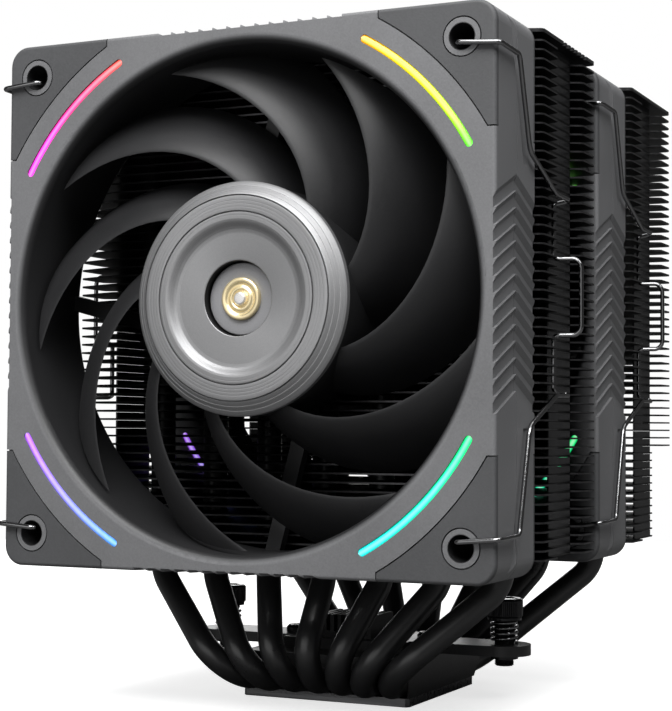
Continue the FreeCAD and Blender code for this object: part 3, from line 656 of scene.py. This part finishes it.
def blade_ring(builder, radius, turn):
    """Closed section of one blade, wrapped on the cylinder of this radius."""
    share = (radius - BLADE_ROOT_R) / (BLADE_TIP_R - BLADE_ROOT_R)
    stagger = math.radians(BLADE_ROOT_STAGGER - BLADE_UNTWIST * share)
    chord = BLADE_ROOT_CHORD + BLADE_WIDENING * share
    camber = BLADE_CAMBER * chord
    half_thickness = BLADE_ROOT_HALF_THICKNESS - BLADE_THINNING * share
    middle_angle = math.radians(BLADE_SWEEP * share) + turn
    stations = 14
    steps = list(range(stations + 1)) + list(range(stations - 1, 0, -1))
    ring = []
    for index, step in enumerate(steps):
        along = -0.5 * math.cos(math.pi * step / stations)
        belly = half_thickness * math.sqrt(max(0.0, 1 - abs(2 * along) ** 3))
        side = 1 if index <= stations else -1
        across = -camber * (1 - 4 * along * along) + side * belly
        ahead = along * chord * math.cos(stagger) + across * math.sin(stagger)
        y = BLADE_MIDDLE_Y - along * chord * math.sin(stagger) + across * math.cos(stagger)
        angle = middle_angle + ahead / radius
        ring.append(builder.verts.new((radius * math.cos(angle), y, radius * math.sin(angle))))
    return ring


def impeller():
    """Hub cup with the shaft's boss inside it, and the ring of blades."""
    builder = bmesh.new()
    inside_y = CUP_FRONT_Y + CUP_WALL
    outline = [
        (SHAFT_R + SHAFT_GAP, CUP_FRONT_Y), (CUP_R - CUP_EDGE, CUP_FRONT_Y),
        (CUP_R, CUP_FRONT_Y + CUP_EDGE), (CUP_R, CUP_REAR_Y), (CUP_INNER_R, CUP_REAR_Y),
        (CUP_INNER_R, inside_y), (BOSS_R, inside_y), (BOSS_TIP_R, BOSS_END_Y),
        (SHAFT_R + SHAFT_GAP, BOSS_END_Y),
    ]
    lathe(builder, outline, closed=True)
    stations = 16
    for number in range(BLADE_COUNT):
        turn = 2 * math.pi * number / BLADE_COUNT
        rings = []
        for step in range(stations + 1):
            radius = BLADE_ROOT_R + (BLADE_TIP_R - BLADE_ROOT_R) * step / stations
            rings.append(blade_ring(builder, radius, turn))
        for first, second in zip(rings, rings[1:]):
            bridge(builder, first, second)
        builder.faces.new(rings[0])
        builder.faces.new(rings[-1])
    return builder


# ---- light guides ---------------------------------------------------------------------

def guide_ring(builder, angle, half_width):
    """Section of a guide at one angle: a low dome over straight walls."""
    ring = []
    dome_steps = 8
    for step in range(dome_steps + 1):
        across = -1 + 2 * step / dome_steps
        radius = GUIDE_R + across * half_width
        y = 0.12 + 0.3 * across * across
        ring.append(builder.verts.new((radius * math.cos(angle), y, radius * math.sin(angle))))
    for across in (1, -1):
        radius = GUIDE_R + across * half_width
        ring.append(builder.verts.new((radius * math.cos(angle), GUIDE_DEPTH, radius * math.sin(angle))))
    return ring


def light_guides():
    """Four arcs with rounded ends, one in each corner of the fan's front face."""
    builder = bmesh.new()
    half_width = GUIDE_WIDTH / 2 - 0.02
    cap = half_width / GUIDE_R
    reach = math.radians(GUIDE_HALF_ANGLE)
    steps = 40
    end_steps = 6
    quarter_turn = math.pi / 2
    for quarter in range(4):
        middle = math.pi / 4 + quarter * quarter_turn
        stations = []
        for step in range(end_steps):
            turn = -reach - cap * math.cos(quarter_turn * step / end_steps)
            stations.append((turn, math.sin(quarter_turn * (step + 0.1) / (end_steps + 0.1))))
        stations += [(-reach + 2 * reach * step / steps, 1.0) for step in range(steps + 1)]
        stations += [(-turn, width) for turn, width in reversed(stations[:end_steps])]
        rings = [guide_ring(builder, middle + turn, half_width * width) for turn, width in stations]
        for first, second in zip(rings, rings[1:]):
            bridge(builder, first, second)
        builder.faces.new(rings[0])
        builder.faces.new(rings[-1])
    return builder


# ---- wire clips -----------------------------------------------------------------------

def clip_route(side):
    """Corners of a clip's wire: the half above the fan's axis, then the same half mirrored.

    The part that hooks into the fins is mirrored about CLIP_HOOK_Z, the rest about the axis."""
    upper = [
        (51.6, 2.4, 51.2), (51.6, -0.85, 51.2), (61.2, -0.85, 50.4), (61.2, 11.0, 50.2),
        (61.2, 17.8, 29.2 + CLIP_HOOK_Z), (61.1, 36.0, 22.4 + CLIP_HOOK_Z),
        (61.0, 46.6, 22.2 + CLIP_HOOK_Z), (58.4, 42.6, 21.0 + CLIP_HOOK_Z),
        (58.4, 42.6, 8.6 + CLIP_HOOK_Z), (64.4, 44.0, 8.6 + CLIP_HOOK_Z),
    ]
    lower = []
    for x, y, z in reversed(upper):
        lower.append((x, y, -z if y < CLIP_FAN_END_Y else 2 * CLIP_HOOK_Z - z))
    return [(side * x, y, z) for x, y, z in upper + lower]


def wire_clip(side):
    half_bends = [1.0, 1.2, 2.0, 4.0, 4.0, 0.7, 0.7, 1.2, 2.2]
    builder = bmesh.new()
    path = rounded_path(clip_route(side), half_bends + half_bends[::-1])
    tube(builder, path, WIRE_R, sides=16, end_dome=0.3)
    return builder


# ---- heat pipes -----------------------------------------------------------------------

def pipe_route(number, front_y, rear_y):
    """Corners of one U-shaped pipe, from its front tip through the base to its rear tip."""
    steps = number - (PIPE_COUNT - 1) // 2
    tower_x = PIPE_PITCH * steps
    base_x = PIPE_BASE_PITCH * steps
    tip_z = PIPE_TIP_Z - PIPE_DOME
    return [
        Vector((tower_x, front_y, tip_z)), Vector((tower_x, front_y, FRONT_BEND_Z)),
        Vector((base_x, FRONT_BEND_Y, PIPE_Z)),
        Vector((base_x, rear_y - REAR_LEAN - REAR_STAGGER * abs(steps), PIPE_Z)),
        Vector((tower_x, rear_y, REAR_BEND_Z)), Vector((tower_x, rear_y, tip_z)),
    ]


def heat_pipe(number):
    """The first bend starts a short way in front of the base block, a different way for each pipe."""
    front_y = fan_origin("front").y / MM + TOWER_PIPE_Y
    rear_y = fan_origin("middle").y / MM + TOWER_PIPE_Y
    route = pipe_route(number, front_y, rear_y)
    straight = PIPE_STRAIGHTS[abs(number - (PIPE_COUNT - 1) // 2)]
    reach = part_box("cold_plate")[0].y / MM - straight - FRONT_BEND_Y
    half_angle = (route[1] - route[2]).angle(route[3] - route[2]) / 2
    bends = (TOWER_BEND_R, reach * math.tan(half_angle), REAR_BASE_BEND_R, TOWER_BEND_R)
    builder = bmesh.new()
    tube(builder, rounded_path(route, bends, step_angle=5.0), PIPE_R, sides=40, end_dome=PIPE_DOME)
    return builder


# ---- spring screws --------------------------------------------------------------------

def knurled_head(builder, x):
    """Head with fine upright ridges and softened rims."""
    steps_per_ridge = 4
    sides = KNURL_COUNT * steps_per_ridge
    lower_rim = 0.45
    upper_rim = 0.5
    heights = [
        (SCREW_HEAD_Z, -lower_rim), (SCREW_HEAD_Z + lower_rim, 0.0),
        (SCREW_TOP_Z - upper_rim, 0.0), (SCREW_TOP_Z, -upper_rim),
    ]
    rings = []
    for height, inset in heights:
        ring = []
        for step in range(sides):
            angle = 2 * math.pi * step / sides
            groove = KNURL_DEPTH if step % steps_per_ridge == 0 and inset == 0.0 else 0.0
            radius = SCREW_HEAD_R + inset - groove
            ring.append(builder.verts.new((x + radius * math.cos(angle), radius * math.sin(angle), height)))
        rings.append(ring)
    for first, second in zip(rings, rings[1:]):
        bridge(builder, first, second)
    builder.faces.new(rings[0])
    builder.faces.new(rings[-1])


def screw_barrel(builder, x):
    """Plain shank and, below the bar, a threaded end with a tapped hole."""
    groove_z = BLOCK_TOP_Z - 1.0
    groove_r = SCREW_SHANK_R - RING_GROOVE_DEPTH
    profile = [
        (0, SCREW_BORE_TOP_Z), (SCREW_BORE_R, SCREW_BORE_TOP_Z), (SCREW_BORE_R, SCREW_BOTTOM_Z),
        (SCREW_SHANK_R - 0.4, SCREW_BOTTOM_Z),
    ]
    height = SCREW_BOTTOM_Z + 0.35
    while height < groove_z - 0.4:
        profile += [(SCREW_SHANK_R, height), (SCREW_SHANK_R - THREAD_DEPTH, height + THREAD_PITCH / 2)]
        height += THREAD_PITCH
    profile += [(SCREW_SHANK_R, groove_z - 0.1), (SCREW_SHANK_R - 0.1, groove_z), (groove_r, groove_z)]
    profile += [(groove_r, groove_z + RING_GROOVE_WIDTH), (SCREW_SHANK_R, groove_z + RING_GROOVE_WIDTH)]
    profile += [(SCREW_SHANK_R, SCREW_HEAD_Z + 0.2), (0, SCREW_HEAD_Z + 0.2)]
    lathe(builder, profile, axis="Z", centre=(x, 0.0), sides=64)


def cross_slot(x):
    """Cutter for the screwdriver cross in the head."""
    builder = bmesh.new()
    middle = Matrix.Translation((x, 0.0, SCREW_TOP_Z))
    arms = ((CROSS_HALF_LENGTH, CROSS_HALF_WIDTH), (CROSS_HALF_WIDTH, CROSS_HALF_LENGTH))
    for half_x, half_y in arms:
        size = Matrix.Diagonal((2 * half_x, 2 * half_y, CROSS_HEIGHT, 1.0))
        bmesh.ops.create_cube(builder, size=1.0, matrix=middle @ size)
    return finished_object("cross_slot", builder)


def cut_away(piece, cutter):
    """Takes the cutter out of the piece's mesh and deletes the cutter."""
    modifier = piece.modifiers.new("cut", "BOOLEAN")
    modifier.operation = "DIFFERENCE"
    modifier.solver = "EXACT"
    modifier.use_self = True
    modifier.object = cutter
    bpy.context.view_layer.update()
    cut = bpy.data.meshes.new_from_object(piece.evaluated_get(bpy.context.evaluated_depsgraph_get()))
    piece.modifiers.clear()
    piece.data = cut
    bpy.data.objects.remove(cutter)


def knurled_screw(x):
    builder = bmesh.new()
    knurled_head(builder, x)
    screw_barrel(builder, x)
    return builder


def screw_spring(x):
    """Compression coil between the bar and the washer."""
    bottom = BAR_TOP_Z + SPRING_WIRE_R
    top = SCREW_HEAD_Z - WASHER_THICKNESS - SPRING_WIRE_R
    steps_per_turn = 36
    count = int(SPRING_TURNS * steps_per_turn)
    path = []
    for step in range(count + 1):
        angle = 2 * math.pi * step / steps_per_turn
        height = bottom + (top - bottom) * step / count
        path.append(Vector((x + SPRING_R * math.cos(angle), SPRING_R * math.sin(angle), height)))
    builder = bmesh.new()
    tube(builder, path, SPRING_WIRE_R, sides=14)
    return builder


# ---- putting the pieces on the frame --------------------------------------------------

def place_piece(name, builder, material, body, node, origin=(0, 0, 0)):
    """Makes a piece that stands for a CAD node."""
    piece = finished_object(name, builder)
    piece.location = origin
    piece.data.materials.append(material)
    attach(piece, body)
    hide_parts(node)
    return piece


def dress_nodes(finishes):
    """Gives every CAD node the material of its slot."""
    for part in frame["record"]["subparts"]:
        slots = frame["nodes"][part["node"]].data.materials
        slots.clear()
        slots.append(finishes[part["material_slot"]])


def dress_fan(fan, finishes):
    """The finer pieces of one fan: its rotor, its light guides and its two clips."""
    origin = fan_origin(fan)
    rotor = fan + "_rotor"
    prefix = fan + "_fan_"
    place_piece(prefix + "turned_disc", hub_disc(), finishes["hub_metal"], rotor,
                prefix + "hub_disc", origin)
    place_piece(prefix + "turned_button", hub_button(), finishes["button_metal"], rotor,
                prefix + "hub_button", origin)
    place_piece(prefix + "turned_medallion", hub_medallion(), finishes["medallion_gold"], rotor,
                prefix + "hub_medallion", origin)
    place_piece(prefix + "bladed_impeller", impeller(), finishes["blade_black"], rotor,
                prefix + "impeller", origin)
    place_piece(prefix + "glowing_guides", light_guides(), finishes["light_guide"], fan + "_fan",
                prefix + "light_guides", origin)
    for side, sign in (("left", -1), ("right", 1)):
        place_piece(f"{prefix}{side}_wire", wire_clip(sign), finishes["spring_wire"],
                    f"{fan}_{side}_clip", f"{prefix}{side}_clip", origin)


def dress_heatsink(finishes):
    """The finer pipes, spring screws and springs."""
    for number in range(PIPE_COUNT):
        place_piece(f"bent_pipe_{number + 1}", heat_pipe(number), finishes["pipe_black"], "heatsink",
                    f"heat_pipe_{number + 1}")
    for side in SIDES:
        x = middle_of(side + "_spring_screw").x / MM
        screw = place_piece(side + "_knurled_screw", knurled_screw(x), finishes["screw_black"],
                            side + "_screw", side + "_spring_screw")
        cut_away(screw, cross_slot(x))
        spring = place_piece(side + "_coil_spring", screw_spring(x), finishes["spring_wire"], "heatsink",
                             side + "_screw_spring")
        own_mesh(spring)


def all_finishes():
    """Materials by slot, and button_metal for the buttons in the hub_metal slot."""
    finishes = {
        "frame_grey": frame_plastic(), "pad_rubber": pad_rubber(), "blade_black": blade_plastic(),
        "fin_black": fin_coating(), "pipe_black": pipe_coating(), "bar_black": bar_coating(),
        "screw_black": screw_coating(), "spring_wire": spring_steel(), "contact_metal": plate_metal(),
        "hub_metal": turned_metal(), "button_metal": button_metal(), "medallion_gold": medallion_metal(),
        "light_guide": light_guide(),
    }
    finishes.update(plain_finishes())
    return finishes


# ---- studio ---------------------------------------------------------------------------

def studio_floor():
    """Round pale floor; what the camera sees of it is lifted to the white of the backdrop."""
    bpy.ops.mesh.primitive_circle_add(vertices=96, radius=FLOOR_R, fill_type="NGON", location=(0, 0, 0))
    floor = bpy.context.object
    floor.name = "studio_floor"
    finish = Finish("studio_floor")
    seen = finish.node("ShaderNodeLightPath").outputs["Is Camera Ray"]
    finish.set(base_color=finish.mix(seen, (0.12, 0.12, 0.12), (0.7, 0.7, 0.7)), roughness=0.9)
    finish.set(emission_color=(1.0, 1.0, 1.0), emission_strength=finish.math("MULTIPLY", seen, 0.72))
    floor.data.materials.append(finish.material)


def area_light(name, place, target, size, power):
    """Lamp of this width and height in metres and this power in watts, aimed at the target."""
    data = bpy.data.lights.new(name, "AREA")
    data.shape = "RECTANGLE"
    data.size, data.size_y = size
    data.energy = power
    lamp = bpy.data.objects.new(name, data)
    lamp.location = place
    lamp.rotation_euler = (Vector(target) - Vector(place)).to_track_quat("-Z", "Y").to_euler()
    bpy.context.scene.collection.objects.link(lamp)


def studio_light():
    """Five lamps, and a backdrop that is white to the camera and dim to the object."""
    area_light("key_light", (0.10, -0.46, 0.63), STUDIO_CENTRE, (0.6, 0.4), 7.4)
    area_light("front_light", (-0.25, -1.5, 0.32), STUDIO_CENTRE, (1.7, 1.3), 6.0)
    area_light("top_light", (0.0, 0.1, 0.9), STUDIO_CENTRE, (0.9, 0.9), 4.0)
    area_light("side_light", (0.30, -0.14, 0.38), (0.06, 0.0, 0.14), (0.1, 0.2), 0.5)
    area_light("back_light", (-0.5, 1.1, 0.4), STUDIO_CENTRE, (0.9, 0.7), 4.5)
    world = bpy.data.worlds.new("studio_world")
    bpy.context.scene.world = world
    world.use_nodes = True
    nodes, links = world.node_tree.nodes, world.node_tree.links
    surround = nodes["Background"]
    surround.inputs["Color"].default_value = (1, 1, 1, 1)
    surround.inputs["Strength"].default_value = SURROUND_STRENGTH
    backdrop = nodes.new("ShaderNodeBackground")
    backdrop.inputs["Color"].default_value = (1, 1, 1, 1)
    chooser = nodes.new("ShaderNodeMixShader")
    links.new(nodes.new("ShaderNodeLightPath").outputs["Is Camera Ray"], chooser.inputs[0])
    links.new(surround.outputs[0], chooser.inputs[1])
    links.new(backdrop.outputs[0], chooser.inputs[2])
    links.new(chooser.outputs[0], nodes["World Output"].inputs["Surface"])
    bpy.context.scene.view_settings.view_transform = "Standard"


def studio_camera():
    yaw, pitch, roll = (math.radians(angle) for angle in CAMERA_ANGLES)
    forward = Vector((
        math.sin(yaw) * math.cos(pitch), math.cos(yaw) * math.cos(pitch), math.sin(pitch),
    ))
    level = Vector((math.cos(yaw), -math.sin(yaw), 0.0))
    upright = level.cross(forward)
    right = level * math.cos(roll) + upright * math.sin(roll)
    up = upright * math.cos(roll) - level * math.sin(roll)
    data = bpy.data.cameras.new("photo_camera")
    data.lens = CAMERA_LENS
    data.sensor_width = SENSOR_WIDTH
    data.clip_start = 0.01
    camera = bpy.data.objects.new("photo_camera", data)
    turn = Matrix((right, up, -forward)).transposed()
    camera.matrix_world = Matrix.Translation(CAMERA_PLACE) @ turn.to_4x4()
    bpy.context.scene.collection.objects.link(camera)
    bpy.context.scene.camera = camera


# ---- whole scene ----------------------------------------------------------------------

studio_camera()
finishes = all_finishes()
dress_nodes(finishes)
for fan_name in FANS:
    dress_fan(fan_name, finishes)
dress_heatsink(finishes)
studio_floor()
studio_light()
